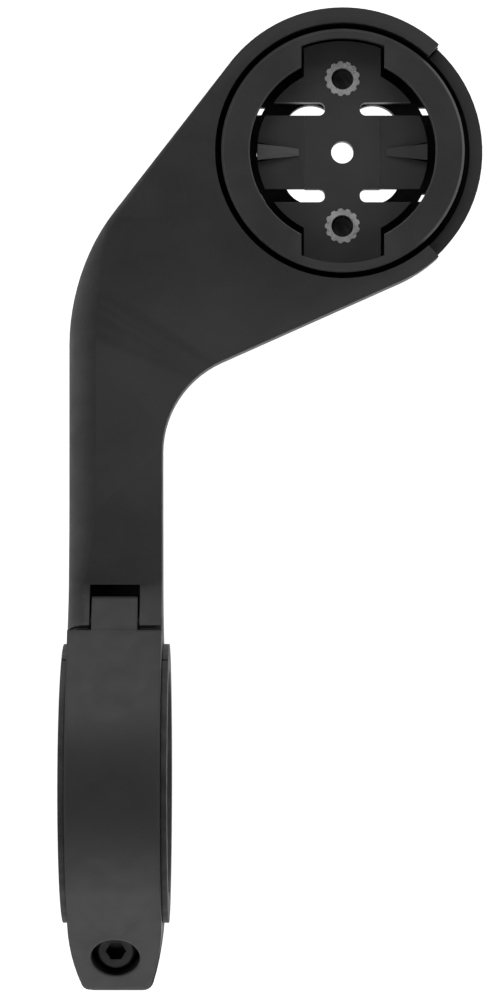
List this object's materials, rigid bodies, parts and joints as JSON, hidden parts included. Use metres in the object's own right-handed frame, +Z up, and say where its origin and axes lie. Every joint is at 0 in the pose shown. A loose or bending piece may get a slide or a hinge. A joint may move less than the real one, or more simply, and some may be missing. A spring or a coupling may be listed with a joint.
{
  "type": "cycling computer handlebar mount",
  "caption": "Out-front handlebar mount for a cycling computer: hinged bar clamp, cranked arm and round head with a quarter-turn socket.",
  "frame": {"origin": "centre of the handlebar bore, in the middle of the clamp's width", "axes": "+X along the handlebar towards the head, +Y forwards from the handlebar to the head, +Z up, out of the socket's face"},
  "size_m": [0.0588, 0.1391, 0.042],
  "materials": {
    "nylon": "matt black glass-filled nylon, lightly textured",
    "socket_nylon": "satin black moulded nylon",
    "rubber": "matt black rubber",
    "steel": "bright stainless steel",
    "black_steel": "black-oxide steel"
  },
  "bodies": {
    "arm": {"arm_body": "nylon", "hinge_pin": "black_steel", "lower_pad": "rubber", "clamp_insert": "steel", "socket_ring": "socket_nylon", "detent_plate": "socket_nylon", "socket_insert_front": "steel", "socket_insert_rear": "steel", "socket_screw_front": "black_steel", "socket_screw_rear": "black_steel"},
    "strap": {"clamp_strap": "nylon", "upper_pad": "rubber"},
    "screw_lift": {"clamp_washer": "black_steel"},
    "screw": {"clamp_screw": "black_steel"},
    "detent_left": {"detent_arm_left": "socket_nylon"},
    "detent_right": {"detent_arm_right": "socket_nylon"}
  },
  "joints": [
    {"name": "strap_hinge", "type": "hinge", "parent": "arm", "child": "strap", "pos_m": [0, 0.0224, 0.00654], "axis": [-1, 0, 0], "range_deg": [0, 55]},
    {"name": "screw_lift", "type": "slide", "parent": "strap", "child": "screw_lift", "axis": [0, -0.2705, 0.9627], "range_m": [0, 0.0045]},
    {"name": "screw_turn", "type": "hinge", "parent": "screw_lift", "child": "screw", "pos_m": [0, -0.0208, -0.0056], "axis": [0, -0.2705, 0.9627], "range_deg": [0, 3240]},
    {"name": "detent_left_flex", "type": "hinge", "parent": "arm", "child": "detent_left", "pos_m": [0.02648, 0.0888, 0.0032], "axis": [0, -1, 0], "range_deg": [0, 3.5], "stiffness_Nm_per_rad": 0.5},
    {"name": "detent_right_flex", "type": "hinge", "parent": "arm", "child": "detent_right", "pos_m": [0.03712, 0.0888, 0.0032], "axis": [0, 1, 0], "range_deg": [0, 3.5], "stiffness_Nm_per_rad": 0.5}
  ],
  "couplings": [
    {"joint": "screw_turn", "follows": "screw_lift", "rad_per_m": 12566}
  ]
}
